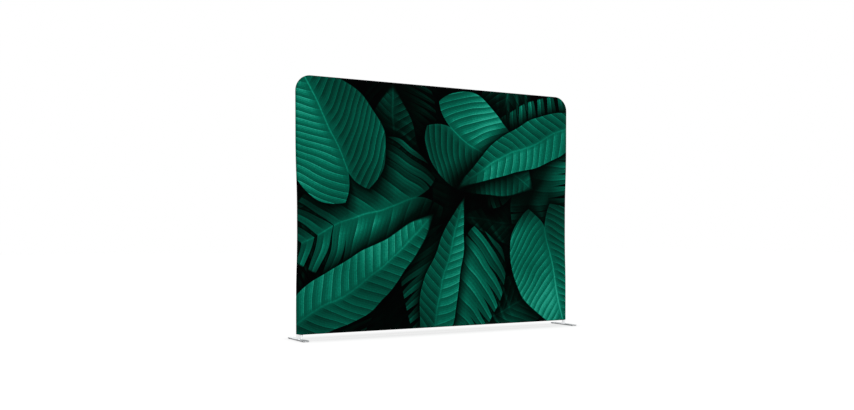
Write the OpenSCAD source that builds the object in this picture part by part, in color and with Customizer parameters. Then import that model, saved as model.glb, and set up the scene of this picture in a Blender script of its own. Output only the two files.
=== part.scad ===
// Free-standing fabric room divider: a tube frame that plugs together, a stretched
// printed sleeve closed by a zip under the bottom rail, and two flat feet.
// Millimetres. X runs along the panel, the front faces -Y, the floor is Z = 0.
// The left half is modelled and the right half is its mirror image.

/* [Frame] */
// Width over the two uprights
frame_w = 2500; // [1200:10:3000]
// Height from the floor to the top of the top rail
frame_h = 1963; // [1200:1:2400]
// Outside diameter of the tubes
tube_d = 32; // [28:0.5:40]
// Wall of the tubes
tube_wall = 1.5; // [1:0.1:2]
// Radius of the top corners, at the middle of the tube
bend_r = 103; // [70:1:200]
// Straight leg at each end of a corner tube
bend_leg = 80; // [72:1:160]
// How far the stretched sleeve pulls the middle of each upright inwards
bow = 10.2; // [2:0.1:16]
// Straight stretch at the outer end of each upright tube, where it doesn't bow
bow_end = 256; // [150:1:320]
// Straight stretch between the ferrule of the middle joint and the bowed part
bow_clear = 6; // [2:1:20]

/* [Tube joints] */
// Length of the ferrule inside a joint
ferrule_len = 120; // [110:1:140]
// Wall of the ferrule
ferrule_wall = 2; // [1.5:0.1:2.5]
// Gap between a ferrule or spigot and the tube round it
slip_gap = 0.1; // [0.05:0.01:0.1]
// Distance from the joint to the snap button and to the rivet
button_pitch = 30; // [26:1:40]
// Length of the spigot that holds the bottom rail
stub_len = 60; // [52:1:90]
// Distance from the upright to the bottom rail's snap button
stub_pitch = 42; // [40:1:46]
// Gap between the bottom rail's end and the upright
rail_end_gap = 0.5; // [0.3:0.1:2]

/* [Snap buttons] */
// Diameter of the button
button_d = 8; // [6:0.5:9]
// Height of the button above the tube
button_rise = 2; // [1.5:0.1:3]
// Height of the domed top, less than the rise
dome_h = 1.4; // [1:0.1:1.5]
// Gap round the button in its holes
button_gap = 0.15; // [0.1:0.05:0.3]
// Width of the flange round the button's foot
flange_w = 1.5; // [1:0.1:2]
// Thickness of the flange
flange_t = 1; // [0.8:0.1:1.5]
// Gap between the flange and the wall that stops it
flange_gap = 0.2; // [0.1:0.05:0.4]
// Width of the spring strip
spring_w = 6; // [4:0.5:8]
// Thickness of the spring strip
spring_t = 0.6; // [0.4:0.1:1]
// Length of the folded spring, from its fold to the button
spring_len = 38; // [30:1:45]
// Flat end of the spring under the button, each way from the button's middle
spring_tip = 5; // [3:0.5:6]

/* [Rivets] */
// Diameter of the rivets that hold the ferrules
rivet_d = 3.2; // [2.4:0.1:4]
// Gap round a rivet in its holes
rivet_gap = 0.05; // [0.02:0.01:0.1]
// Diameter of the rivet's head
rivet_head_d = 6.4; // [5.4:0.1:8]
// Height of the rivet's head
rivet_head_h = 0.9; // [0.6:0.1:1.5]
// Diameter of the set end inside the ferrule
rivet_tail_d = 4.8; // [4.4:0.1:6]
// Length of the set end
rivet_tail_h = 2; // [1:0.1:3]

/* [Feet] */
// Length of a foot plate, front to back
foot_len = 300; // [200:5:450]
// Width of a foot plate
foot_w = 50; // [44:1:90]
// Thickness of a foot plate
foot_t = 6; // [5.5:0.5:10]
// Corner radius of a foot plate
foot_corner_r = 3; // [1:0.5:8]
// Bevel round the upper edges of a foot plate
foot_bevel = 0.8; // [0.3:0.1:1]
// Height of the spigot inside the upright
spigot_h = 60; // [32:1:90]
// Edge bevel at the top of the spigot
spigot_bevel = 2; // [1:0.5:4]
// Diameter of the screw under the foot
screw_d = 8; // [6:0.5:10]
// Length of the screw with its head
screw_len = 25; // [16:1:28]
// Diameter of the countersunk head
screw_head_d = 16; // [14:0.5:18]
// Height of the countersunk head
screw_head_h = 4.4; // [3:0.1:5]
// Size across the corners of the hexagon socket
socket_d = 5.8; // [4:0.1:6]
// Depth of the hexagon socket
socket_h = 3; // [2:0.1:4]
// Gap round the screw and its head
screw_gap = 0.1; // [0.05:0.05:0.3]
// Gap between the screw and the spigot's hole
thread_gap = 0.05; // [0.02:0.01:0.1]
// Diameter of a rubber pad
pad_d = 14; // [12:1:20]
// Thickness of a rubber pad
pad_t = 4; // [1:0.5:5]
// Distance from a pad's edge to the edge of the plate
pad_inset = 3; // [3:1:6]

/* [Sleeve] */
// Thickness of the sleeve
fabric_t = 1; // [0.8:0.1:1.5]
// Gap between the sleeve and the tubes
fabric_gap = 0.3; // [0.2:0.1:0.6]
// Height of the sleeve's lower edge above the floor
sleeve_z = 39; // [30:1:90]
// Rise of the hem from the inner to the outer side of each upright
hem_rise = 7; // [2:1:14]
// Space below the bottom rail for the zip, inside the sleeve
zip_room = 3.5; // [3.2:0.1:6]
// Distance between the two hems along the zip
hem_slot = 11; // [10.5:0.5:14]

/* [Zip] */
// Width of one row of teeth
teeth_w = 2.2; // [1.8:0.1:2.6]
// Height of the teeth
teeth_h = 2.4; // [2:0.1:2.6]
// Slit between the two rows of teeth
teeth_slit = 1.6; // [1.4:0.1:2]
// Width of each tape
tape_w = 12; // [9:0.5:14]
// Thickness of the tapes
tape_t = 0.8; // [0.5:0.1:1]
// Gap between a tape and the sleeve that it is sewn to
tape_gap = 0.05; // [0.02:0.01:0.1]
// Distance from the end of the zip to the hem round the upright
zip_end_gap = 3; // [2:0.5:20]
// Length of the stops at the ends of the zip
stop_len = 3; // [2:0.5:6]
// Height of the stops
stop_h = 3.2; // [3.1:0.1:3.4]
// Length of the slider
slider_len = 12; // [10:0.5:14]
// Width of the slider
slider_w = 9; // [8.6:0.1:9.4]
// Thickness of the slider's plates
slider_t = 1.2; // [0.8:0.1:1.4]
// Gap between the slider and the teeth
slider_gap = 0.3; // [0.2:0.05:0.4]
// Thickness of the slider's post
post_t = 1; // [0.8:0.1:1.1]
// Length of the slider's post
post_len = 5; // [3:0.5:8]
// Height of the slider's side lips
lip_h = 0.8; // [0.4:0.1:0.9]
// Width of the slider's side lips
lip_w = 1.1; // [0.8:0.1:1.2]
// Thickness of an ear of the slider
ear_t = 0.8; // [0.6:0.1:1.2]
// Width of an ear of the slider
ear_w = 3; // [2.6:0.1:3.6]
// Diameter of the puller's pin
pin_d = 1.4; // [1.2:0.1:1.6]
// Gap round the pin
pin_gap = 0.05; // [0.02:0.01:0.1]
// Metal round the pin, in the ears and in the puller
eye_wall = 0.95; // [0.7:0.05:1.1]
// Width of the puller's eye
eye_w = 1.8; // [1.4:0.1:2.4]
// Gap beside and above the puller's eye
eye_gap = 0.15; // [0.1:0.05:0.3]
// Length of the puller from its pin to its tip
puller_len = 12; // [9:0.5:12.5]
// Width of the puller
puller_w = 5; // [4:0.5:7]
// Thickness of the puller
puller_t = 1.2; // [0.8:0.1:1.6]

/* [Hidden] */
$fn = 96;
// Overshoot of a cutter past the face that it cuts
over = 1;
// Lap of the sleeve's rounded edges onto its flat face
lap = 2;

// Tube sections
tube_r = tube_d / 2;
tube_bore_r = tube_r - tube_wall;
ferrule_r = tube_bore_r - slip_gap;
ferrule_bore_r = ferrule_r - ferrule_wall;

// Lines of the frame: the uprights, the rails and the ends of the corner tubes
upright_x = frame_w / 2 - tube_r;
top_z = frame_h - tube_r;
foot_top = pad_t + foot_t;
corner_end_x = upright_x - bend_r - bend_leg;
corner_end_z = top_z - bend_r - bend_leg;
upright_joint_z = (foot_top + corner_end_z) / 2;
rail_end_x = upright_x - tube_r - rail_end_gap;

// Above and below its middle joint an upright curves out again in two equal arcs: where
// they start, their height together, the angle and radius of each, and the shift they give
bow_rest = ferrule_len / 2 + bow_clear;
bow_h = upright_joint_z - foot_top - bow_rest - bow_end;
bow_turn = round(2 * atan(bow / bow_h) * 1e5) / 1e5;
bow_r = bow_h / 2 / sin(bow_turn);
bow_in = bow_h * tan(bow_turn / 2);
// Hair by which each run of a bent tube laps the one before, so that they join as one
bow_lap = 5e-8;
// Chords along the arcs, for the sleeve's flat face
bow_steps = 12;

// Sleeve: inside and outside radius of its rounded edges, and the line of its lower edge
skin_in = tube_r + fabric_gap;
skin_out = skin_in + fabric_t;
sleeve_axis_z = sleeve_z + skin_out;
rail_z = sleeve_axis_z + zip_room;

// Snap button, from the middle of the tube outwards
button_r = button_d / 2;
flange_r = button_r + flange_w;
flange_top = sqrt(pow(ferrule_bore_r, 2) - pow(flange_r, 2)) - flange_gap;
flange_base = flange_top - flange_t;
button_top = tube_r + button_rise;
dome_r = (pow(button_r, 2) + pow(dome_h, 2)) / (2 * dome_h);
spring_floor = sqrt(pow(ferrule_bore_r, 2) - pow(spring_w / 2, 2)) - flange_gap;

// Zip, from the middle of the teeth
zip_z = sleeve_axis_z - skin_in + tape_gap + tape_t / 2;
zip_half = upright_x - skin_out - zip_end_gap;
teeth_half = zip_half - stop_len;
teeth_edge = teeth_slit / 2 + teeth_w;
slider_inside = teeth_h / 2 + slider_gap;
slider_outside = slider_inside + slider_t;
slider_x = -(teeth_half - slider_gap - slider_len / 2);
eye_r = pin_d / 2 + pin_gap + eye_wall;
pin_z = zip_z - slider_outside - eye_r - eye_gap;

// Tube joints of the left half, and the two in the middle. Each is [place, turn, pitch]: its
// own X axis runs along the tube towards the snap button, which lies one pitch from the
// joint, and its Z axis is the way that the button faces, into the frame.
upright_joint = [[bow_in - upright_x, 0, upright_joint_z], [180, -90, 0], button_pitch];
corner_lower_joint = [[-upright_x, 0, corner_end_z], [0, 90, 0], button_pitch];
corner_upper_joint = [[-corner_end_x, 0, top_z], [180, 0, 0], button_pitch];
top_centre_joint = [[0, 0, top_z], [180, 0, 0], button_pitch];
bottom_centre_joint = [[0, 0, rail_z], [0, 0, 0], button_pitch];
rail_joint = [[-upright_x + tube_r, 0, rail_z], [0, 0, 0], stub_pitch];

METAL = [0.76, 0.77, 0.79];
STEEL = [0.62, 0.63, 0.65];
BRIGHT = [0.85, 0.86, 0.88];
LEAF = [0.02, 0.42, 0.32];
DARK = [0.06, 0.07, 0.07];

module at_joint(joint) {
    translate(joint[0]) rotate(joint[1]) children();
}

module at_button(joint) {
    at_joint(joint) translate([joint[2], 0, 0]) children();
}

module at_rivet(joint) {
    at_joint(joint) translate([-joint[2], 0, 0]) children();
}

// The same thing on the right-hand side
module on_right() {
    mirror([1, 0, 0]) children();
}

// A cylinder along X from x0 to x1
module rod_x(x0, x1, r) {
    translate([x0, 0, 0]) rotate([0, 90, 0]) cylinder(r = r, h = x1 - x0);
}

module pipe_x(x0, x1, r, bore_r) {
    difference() {
        rod_x(x0, x1, r);
        rod_x(x0 - over, x1 + over, bore_r);
    }
}

module pipe_z(z0, z1, r, bore_r) {
    translate([0, 0, z0]) difference() {
        cylinder(r = r, h = z1 - z0);
        translate([0, 0, -over]) cylinder(r = bore_r, h = z1 - z0 + 2 * over);
    }
}

// Holes through the wall that the button faces
module button_hole(joint) {
    at_button(joint) cylinder(r = button_r + button_gap, h = button_top);
}

module rivet_hole(joint) {
    at_rivet(joint) cylinder(r = rivet_d / 2 + rivet_gap, h = button_top);
}

// Shift inwards at a distance along the arcs, from their outer end
function bow_shift(d) =
    d < bow_h / 2 ? bow_r - sqrt(pow(bow_r, 2) - pow(d, 2))
    : bow_in - bow_r + sqrt(pow(bow_r, 2) - pow(bow_h - d, 2));

// Moves to a place of any number of digits: by whole millimetres, and then by the rest
module move_to(place) {
    whole = [for (v = place) round(v)];
    translate(whole) translate(place - whole) children();
}

// A section carried up from the origin round one arc, towards +X
module bow_arc() {
    move_to([bow_r, 0, 0]) rotate([90, 0, 0]) mirror([1, 0, 0])
        rotate_extrude(angle = bow_turn) move_to([bow_r, 0, 0]) rotate(180) children();
}

// A section carried up from the middle joint, back out to the upright's own line
module bowed_leg(length) {
    move_to([bow_in, 0, 0]) linear_extrude(bow_rest) children();
    translate([0, 0, -bow_lap]) move_to([bow_in, 0, bow_rest]) mirror([1, 0, 0])
        bow_arc() mirror([1, 0]) children();
    translate([0, 0, -2 * bow_lap]) move_to([0, 0, bow_rest + bow_h]) {
        mirror([0, 0, 1]) bow_arc() children();
        translate([0, 0, -bow_lap]) linear_extrude(length - bow_rest - bow_h) children();
    }
}

// The same section along the lower and the upper tube of the left upright
module lower_run(base_z) {
    translate([-upright_x, 0, upright_joint_z]) mirror([0, 0, 1])
        bowed_leg(upright_joint_z - base_z) children();
}

module upper_run(end_z) {
    translate([-upright_x, 0, upright_joint_z]) bowed_leg(end_z - upright_joint_z) children();
}

module tube_section() {
    difference() {
        circle(r = tube_r);
        circle(r = tube_bore_r);
    }
}

// Frame tubes of the left half

module upright_lower() {
    color(METAL) difference() {
        lower_run(foot_top) tube_section();
        rivet_hole(upright_joint);
    }
}

module upright_upper() {
    color(METAL) difference() {
        upper_run(corner_end_z) tube_section();
        button_hole(upright_joint);
        button_hole(corner_lower_joint);
    }
}

module corner_tube() {
    color(METAL) difference() {
        union() {
            translate([-upright_x, 0, 0])
                pipe_z(corner_end_z, corner_end_z + bend_leg, tube_r, tube_bore_r);
            translate([0, 0, top_z])
                pipe_x(-corner_end_x - bend_leg, -corner_end_x, tube_r, tube_bore_r);
            translate([-upright_x + bend_r, 0, top_z - bend_r]) rotate([90, 0, 0])
                rotate([0, 0, 90]) rotate_extrude(angle = 90) translate([bend_r, 0])
                tube_section();
        }
        rivet_hole(corner_lower_joint);
        rivet_hole(corner_upper_joint);
    }
}

module top_rail() {
    difference() {
        translate([0, 0, top_z]) pipe_x(-corner_end_x, 0, tube_r, tube_bore_r);
        button_hole(corner_upper_joint);
    }
}

module top_rail_left() {
    color(METAL) difference() {
        top_rail();
        rivet_hole(top_centre_joint);
    }
}

module top_rail_right() {
    color(METAL) difference() {
        on_right() top_rail();
        button_hole(top_centre_joint);
    }
}

module bottom_rail() {
    difference() {
        translate([0, 0, rail_z]) pipe_x(-rail_end_x, 0, tube_r, tube_bore_r);
        button_hole(rail_joint);
    }
}

module bottom_rail_left() {
    color(METAL) difference() {
        bottom_rail();
        rivet_hole(bottom_centre_joint);
    }
}

module bottom_rail_right() {
    color(METAL) difference() {
        on_right() bottom_rail();
        button_hole(bottom_centre_joint);
    }
}

// Parts of a tube joint

module ferrule(joint) {
    color(STEEL) difference() {
        at_joint(joint) pipe_x(-ferrule_len / 2, ferrule_len / 2, ferrule_r, ferrule_bore_r);
        button_hole(joint);
        rivet_hole(joint);
    }
}

module snap_button(joint) {
    color(BRIGHT) at_button(joint) {
        translate([0, 0, flange_base]) cylinder(r = flange_r, h = flange_t);
        rotate_extrude() intersection() {
            translate([0, button_top - dome_r]) circle(r = dome_r);
            translate([0, flange_base]) square([button_r, button_top - flange_base]);
        }
    }
}

// A strip folded into a V: one leg lies on the far wall, the other pushes the button out
module snap_spring(joint) {
    color(STEEL) at_button(joint) translate([0, spring_w / 2, 0]) rotate([90, 0, 0])
        linear_extrude(spring_w) polygon([
            [spring_tip, flange_base],
            [-spring_tip, flange_base],
            [-spring_len, -spring_floor],
            [spring_tip, -spring_floor],
            [spring_tip, -spring_floor + spring_t],
            [-spring_len + 2 * spring_t, -spring_floor + spring_t],
            [-spring_tip + spring_t / 2, flange_base - spring_t],
            [spring_tip, flange_base - spring_t],
        ]);
}

module rivet(joint) {
    tail_top = sqrt(pow(ferrule_bore_r, 2) - pow(rivet_tail_d / 2, 2));
    tail_base = tail_top - rivet_tail_h;
    head_top = tube_r + rivet_head_h;
    color(STEEL) at_rivet(joint) {
        translate([0, 0, tail_base]) cylinder(r = rivet_tail_d / 2, h = rivet_tail_h);
        translate([0, 0, tail_base]) cylinder(r = rivet_d / 2, h = head_top - tail_base);
        translate([0, 0, tube_r]) cylinder(r = rivet_head_d / 2, h = rivet_head_h);
    }
}

// Spigot welded to the upright: it holds the end of the bottom rail
module rail_spigot() {
    color(STEEL) difference() {
        at_joint(rail_joint) pipe_x(-tube_r, stub_len, ferrule_r, ferrule_bore_r);
        button_hole(rail_joint);
        translate([-upright_x, 0, 0]) cylinder(r = tube_r, h = upright_joint_z);
    }
}

module button_springs() {
    for (joint = [upright_joint, corner_lower_joint, corner_upper_joint, rail_joint]) {
        snap_spring(joint);
        on_right() snap_spring(joint);
    }
    snap_spring(top_centre_joint);
    snap_spring(bottom_centre_joint);
}

module ferrule_rivets() {
    for (joint = [upright_joint, corner_lower_joint, corner_upper_joint]) {
        rivet(joint);
        on_right() rivet(joint);
    }
    rivet(top_centre_joint);
    rivet(bottom_centre_joint);
}

// Feet, left-hand one

module countersink(gap) {
    rotate_extrude() polygon([
        [0, 0],
        [screw_head_d / 2 + gap, 0],
        [screw_d / 2 + gap, screw_head_h],
        [0, screw_head_h],
    ]);
}

// A bar along Y with its two upper edges bevelled
module bevelled_bar(width, length) {
    side = width / 2;
    translate([0, length / 2, 0]) rotate([90, 0, 0]) linear_extrude(length) polygon([
        [-side, 0],
        [side, 0],
        [side, foot_t - foot_bevel],
        [side - foot_bevel, foot_t],
        [-side + foot_bevel, foot_t],
        [-side, foot_t - foot_bevel],
    ]);
}

module foot_plate() {
    inner_w = foot_w - 2 * foot_corner_r;
    inner_len = foot_len - 2 * foot_corner_r;
    color(STEEL) translate([-upright_x, 0, pad_t]) difference() {
        union() {
            bevelled_bar(foot_w, inner_len);
            rotate(90) bevelled_bar(foot_len, inner_w);
            for (x = [-1, 1], y = [-1, 1])
                translate([x * inner_w / 2, y * inner_len / 2, 0]) rotate_extrude() polygon([
                    [0, 0],
                    [foot_corner_r, 0],
                    [foot_corner_r, foot_t - foot_bevel],
                    [foot_corner_r - foot_bevel, foot_t],
                    [0, foot_t],
                ]);
        }
        countersink(screw_gap);
        cylinder(r = screw_d / 2 + screw_gap, h = foot_t + over);
    }
}

module foot_spigot() {
    color(STEEL) translate([-upright_x, 0, foot_top]) difference() {
        rotate_extrude() polygon([
            [0, 0],
            [ferrule_r, 0],
            [ferrule_r, spigot_h - spigot_bevel],
            [ferrule_r - spigot_bevel, spigot_h],
            [0, spigot_h],
        ]);
        translate([0, 0, -over]) cylinder(r = screw_d / 2 + thread_gap, h = screw_len + over);
    }
}

module foot_screw() {
    color(BRIGHT) translate([-upright_x, 0, pad_t]) difference() {
        union() {
            countersink(0);
            cylinder(r = screw_d / 2, h = screw_len);
        }
        translate([0, 0, -over]) cylinder(r = socket_d / 2, h = socket_h + over, $fn = 6);
    }
}

module foot_pads() {
    x = foot_w / 2 - pad_inset - pad_d / 2;
    y = foot_len / 2 - pad_inset - pad_d / 2;
    color(DARK) translate([-upright_x, 0, 0])
        for (side = [-1, 1], end = [-1, 1])
            translate([side * x, end * y, 0]) cylinder(r = pad_d / 2, h = pad_t);
}

// Sleeve. Its edge is a quarter ring in section: from the flat face, round the tube, to
// the seam in the middle of the edge.

// A disc with a straight-sided skirt below its middle
module skirted_disc(r, skirt) {
    circle(r = r);
    translate([-r, -skirt]) square([2 * r, skirt]);
}

// Quarter ring in the second quadrant of its own plane. Below its left-hand end a short
// straight strip laps the flat face.
module quarter_ring() {
    intersection() {
        difference() {
            skirted_disc(skin_out, lap);
            skirted_disc(skin_in, lap + over);
        }
        translate([-skin_out, -lap]) square([skin_out, skin_out + lap]);
    }
}

// The flat face's outline, at the middle of the tubes
module face_outline() {
    corner_x = upright_x - bend_r;
    corner_z = top_z - bend_r;
    reach = bow_rest + bow_h;
    steps = [for (i = [0 : bow_steps]) bow_h * i / bow_steps];
    arcs = [for (d = steps) [upright_x - bow_shift(d), reach - d]];
    side = concat(
        [[upright_x, sleeve_axis_z]],
        [for (p = arcs) [p[0], upright_joint_z - p[1]]],
        [for (i = [bow_steps : -1 : 0]) [arcs[i][0], upright_joint_z + arcs[i][1]]],
        [[upright_x, corner_z]]
    );
    polygon(concat(side, [for (i = [len(side) - 1 : -1 : 0]) [-side[i][0], side[i][1]]]));
    translate([-corner_x, corner_z]) square([2 * corner_x, bend_r]);
    for (side = [-1, 1])
        intersection() {
            translate([side * corner_x, corner_z]) circle(r = bend_r);
            translate([side > 0 ? corner_x : -upright_x, corner_z]) square(bend_r);
        }
}

// The edge round the left upright, its corner and half the top rail, in front of the seam
module edge_left() {
    corner_z = top_z - bend_r;
    lower_run(sleeve_z - over) rotate(90) quarter_ring();
    upper_run(corner_z) rotate(90) quarter_ring();
    translate([-upright_x + bend_r, 0, corner_z]) rotate([90, 0, 0]) rotate([0, 0, 90])
        rotate_extrude(angle = 90) translate([bend_r, 0]) rotate(-90) quarter_ring();
    translate([-upright_x + bend_r, 0, top_z]) rotate([90, 0, 90])
        linear_extrude(upright_x - bend_r) quarter_ring();
}

// The lower edge's front part: a ring cut off at the zip
module lower_edge() {
    translate([-upright_x, 0, sleeve_axis_z]) rotate([90, 0, 90])
        linear_extrude(2 * upright_x) difference() {
            mirror([0, 1]) quarter_ring();
            translate([-hem_slot / 2, -skin_out - over]) square([hem_slot, skin_out]);
        }
}

// The hem's inner quarter round the left upright, under the lower edge
module cuff_left() {
    translate([-upright_x, 0, sleeve_z - over]) mirror([1, 0, 0]) rotate([0, 0, 90])
        linear_extrude(skin_out + over) quarter_ring();
}

// What lies below the sloping hem round the left upright
module hem_cut_left() {
    inner_x = -upright_x + skin_out;
    outer_x = -upright_x - skin_out - over;
    low_z = sleeve_z - 2 * over;
    translate([0, skin_out + over, 0]) rotate([90, 0, 0])
        linear_extrude(2 * (skin_out + over)) polygon([
            [inner_x, low_z],
            [inner_x, sleeve_z],
            [outer_x, sleeve_z + hem_rise],
            [outer_x, low_z],
        ]);
}

module sleeve_half() {
    difference() {
        union() {
            translate([0, -skin_in, 0]) rotate([90, 0, 0])
                linear_extrude(fabric_t) face_outline();
            edge_left();
            on_right() edge_left();
            difference() {
                lower_edge();
                for (side = [-1, 1])
                    translate([side * upright_x, 0, 0]) cylinder(r = skin_in, h = rail_z);
            }
            difference() {
                union() {
                    cuff_left();
                    on_right() cuff_left();
                }
                translate([0, 0, sleeve_axis_z]) rod_x(-frame_w, frame_w, skin_in);
            }
        }
        hem_cut_left();
        on_right() hem_cut_left();
    }
}

module sleeve_front() {
    color(LEAF) sleeve_half();
}

module sleeve_back() {
    color(LEAF) mirror([0, 1, 0]) sleeve_half();
}

// Zip, its front half

module zip_tape() {
    tape_out = skin_in - tape_gap;
    tape_in = tape_out - tape_t;
    edge_a = asin(teeth_edge / tape_out);
    tape_a = edge_a + tape_w / tape_out * 180 / PI;
    color(DARK) translate([-zip_half, 0, sleeve_axis_z]) rotate([90, 0, 90])
        linear_extrude(2 * zip_half) intersection() {
            difference() {
                circle(r = tape_out);
                circle(r = tape_in);
            }
            polygon([
                [-teeth_edge, 0],
                [-teeth_edge, -skin_out],
                [-skin_out * sin(tape_a) / cos(tape_a), -skin_out],
            ]);
        }
}

module zip_teeth() {
    color(DARK) translate([-teeth_half, -teeth_edge, zip_z - teeth_h / 2])
        cube([2 * teeth_half, teeth_w, teeth_h]);
}

module zip_stops() {
    color(BRIGHT) for (x = [-zip_half, teeth_half], y = [-teeth_edge, teeth_slit / 2])
        translate([x, y, zip_z - stop_h / 2]) cube([stop_len, teeth_w, stop_h]);
}

module zip_slider() {
    ear_base = zip_z - slider_outside;
    color(BRIGHT) translate([slider_x, 0, 0]) {
        for (z = [zip_z + slider_inside, zip_z - slider_outside])
            translate([-slider_len / 2, -slider_w / 2, z]) cube([slider_len, slider_w, slider_t]);
        translate([-post_len / 2, -post_t / 2, zip_z - slider_inside])
            cube([post_len, post_t, 2 * slider_inside]);
        for (y = [-slider_w / 2, slider_w / 2 - lip_w])
            translate([-slider_len / 2, y, zip_z - slider_inside]) cube([slider_len, lip_w, lip_h]);
        for (side = [-1, 1]) difference() {
            translate([-ear_w / 2, side > 0 ? eye_w / 2 + eye_gap : -eye_w / 2 - eye_gap - ear_t,
                pin_z - eye_r]) cube([ear_w, ear_t, ear_base - pin_z + eye_r]);
            translate([0, 0, pin_z]) rotate([90, 0, 0])
                cylinder(d = pin_d, h = 4 * puller_w, center = true);
        }
    }
}

module zip_pin() {
    color(BRIGHT) translate([slider_x, 0, pin_z]) rotate([90, 0, 0])
        cylinder(d = pin_d, h = eye_w + 2 * (eye_gap + ear_t), center = true);
}

module zip_puller() {
    reach = norm([ear_w / 2, eye_r]) + eye_gap;
    color(BRIGHT) translate([slider_x, 0, pin_z]) difference() {
        union() {
            rotate([90, 0, 0]) cylinder(r = eye_r, h = eye_w, center = true);
            translate([-puller_t / 2, -eye_w / 2, -reach]) cube([puller_t, eye_w, reach]);
            translate([-puller_t / 2, -puller_w / 2, -puller_len])
                cube([puller_t, puller_w, puller_len - reach]);
        }
        rotate([90, 0, 0]) cylinder(r = pin_d / 2 + pin_gap, h = 2 * eye_w, center = true);
    }
}

upright_lower();  // upright_lower_left
on_right() upright_lower();  // upright_lower_right
upright_upper();  // upright_upper_left
on_right() upright_upper();  // upright_upper_right
corner_tube();  // corner_tube_left
on_right() corner_tube();  // corner_tube_right
top_rail_left();
top_rail_right();
bottom_rail_left();
bottom_rail_right();
ferrule(upright_joint);  // upright_ferrule_left
on_right() ferrule(upright_joint);  // upright_ferrule_right
ferrule(corner_lower_joint);  // corner_lower_ferrule_left
on_right() ferrule(corner_lower_joint);  // corner_lower_ferrule_right
ferrule(corner_upper_joint);  // corner_upper_ferrule_left
on_right() ferrule(corner_upper_joint);  // corner_upper_ferrule_right
ferrule(top_centre_joint);  // top_centre_ferrule
ferrule(bottom_centre_joint);  // bottom_centre_ferrule
rail_spigot();  // rail_spigot_left
on_right() rail_spigot();  // rail_spigot_right
snap_button(upright_joint);  // upright_button_left
on_right() snap_button(upright_joint);  // upright_button_right
snap_button(corner_lower_joint);  // corner_lower_button_left
on_right() snap_button(corner_lower_joint);  // corner_lower_button_right
snap_button(corner_upper_joint);  // corner_upper_button_left
on_right() snap_button(corner_upper_joint);  // corner_upper_button_right
snap_button(top_centre_joint);  // top_centre_button
snap_button(bottom_centre_joint);  // bottom_centre_button
snap_button(rail_joint);  // rail_button_left
on_right() snap_button(rail_joint);  // rail_button_right
button_springs();
ferrule_rivets();
foot_plate();  // foot_plate_left
on_right() foot_plate();  // foot_plate_right
foot_spigot();  // foot_spigot_left
on_right() foot_spigot();  // foot_spigot_right
foot_screw();  // foot_screw_left
on_right() foot_screw();  // foot_screw_right
foot_pads();  // foot_pads_left
on_right() foot_pads();  // foot_pads_right
sleeve_front();
sleeve_back();
zip_tape();  // zip_tape_front
mirror([0, 1, 0]) zip_tape();  // zip_tape_back
zip_teeth();  // zip_teeth_front
mirror([0, 1, 0]) zip_teeth();  // zip_teeth_back
zip_stops();
zip_slider();
zip_pin();
zip_puller();
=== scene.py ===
import math

import bpy
import numpy as np
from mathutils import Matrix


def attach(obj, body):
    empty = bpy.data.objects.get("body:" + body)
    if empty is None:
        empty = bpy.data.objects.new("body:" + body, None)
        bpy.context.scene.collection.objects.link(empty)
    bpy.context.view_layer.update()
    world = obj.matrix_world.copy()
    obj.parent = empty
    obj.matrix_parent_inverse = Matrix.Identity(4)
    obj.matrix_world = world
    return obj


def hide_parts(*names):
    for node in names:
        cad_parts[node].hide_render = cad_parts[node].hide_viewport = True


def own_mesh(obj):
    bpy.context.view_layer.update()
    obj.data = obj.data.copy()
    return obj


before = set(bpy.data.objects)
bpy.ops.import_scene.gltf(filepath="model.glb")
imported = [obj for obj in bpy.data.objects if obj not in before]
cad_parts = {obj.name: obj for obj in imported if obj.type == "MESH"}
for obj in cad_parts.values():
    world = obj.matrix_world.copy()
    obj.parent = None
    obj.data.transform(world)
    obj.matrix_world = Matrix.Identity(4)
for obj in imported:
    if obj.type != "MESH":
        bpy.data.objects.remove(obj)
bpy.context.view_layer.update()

mm = 0.001
scene = bpy.context.scene


def display(red, green, blue):
    # a colour as a screen shows it, 0 to 255, turned into linear light
    channels = []
    for value in (red, green, blue):
        value = value / 255
        channels.append(value / 12.92 if value <= 0.04045 else ((value + 0.055) / 1.055) ** 2.4)
    return (*channels, 1)


# Shader maths: a Wire holds one socket, and expressions on wires add the nodes

class Wire:
    def __init__(self, paint, socket):
        self.paint = paint
        self.socket = socket
        self.flat = socket.type != "VECTOR" and socket.type != "RGBA"

    def __add__(self, other):
        return self.paint.sum("ADD", self, other)

    def __radd__(self, other):
        return self.paint.sum("ADD", other, self)

    def __sub__(self, other):
        return self.paint.sum("SUBTRACT", self, other)

    def __rsub__(self, other):
        return self.paint.sum("SUBTRACT", other, self)

    def __mul__(self, other):
        return self.paint.sum("MULTIPLY", self, other)

    def __rmul__(self, other):
        return self.paint.sum("MULTIPLY", other, self)

    def __truediv__(self, other):
        return self.paint.sum("DIVIDE", self, other)

    def __rtruediv__(self, other):
        return self.paint.sum("DIVIDE", other, self)

    def __pow__(self, other):
        return self.paint.sum("POWER", self, other)

    def __abs__(self):
        return self.paint.sum("ABSOLUTE", self)

    def atLeast(self, other):
        return self.paint.sum("MAXIMUM", self, other)

    def atMost(self, other):
        return self.paint.sum("MINIMUM", self, other)

    def between(self, low, high):
        return self.atLeast(low).atMost(high)

    def times(self, factor, plus):
        return self.paint.sum("MULTIPLY_ADD", self, factor, plus)

    def fraction(self):
        return self.paint.sum("FRACT" if self.flat else "FRACTION", self)

    def wave(self):
        return self.paint.sum("SINE", self)

    def split(self):
        return self.paint.add("ShaderNodeSeparateXYZ", {}, {"Vector": self}, ("X", "Y", "Z"))

    def ramp(self, low, high):
        # 0 below low, 1 above high, smooth between
        return self.paint.add("ShaderNodeMapRange", {"interpolation_type": "SMOOTHSTEP"},
                              {"Value": self, "From Min": low, "From Max": high}, "Result")


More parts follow.
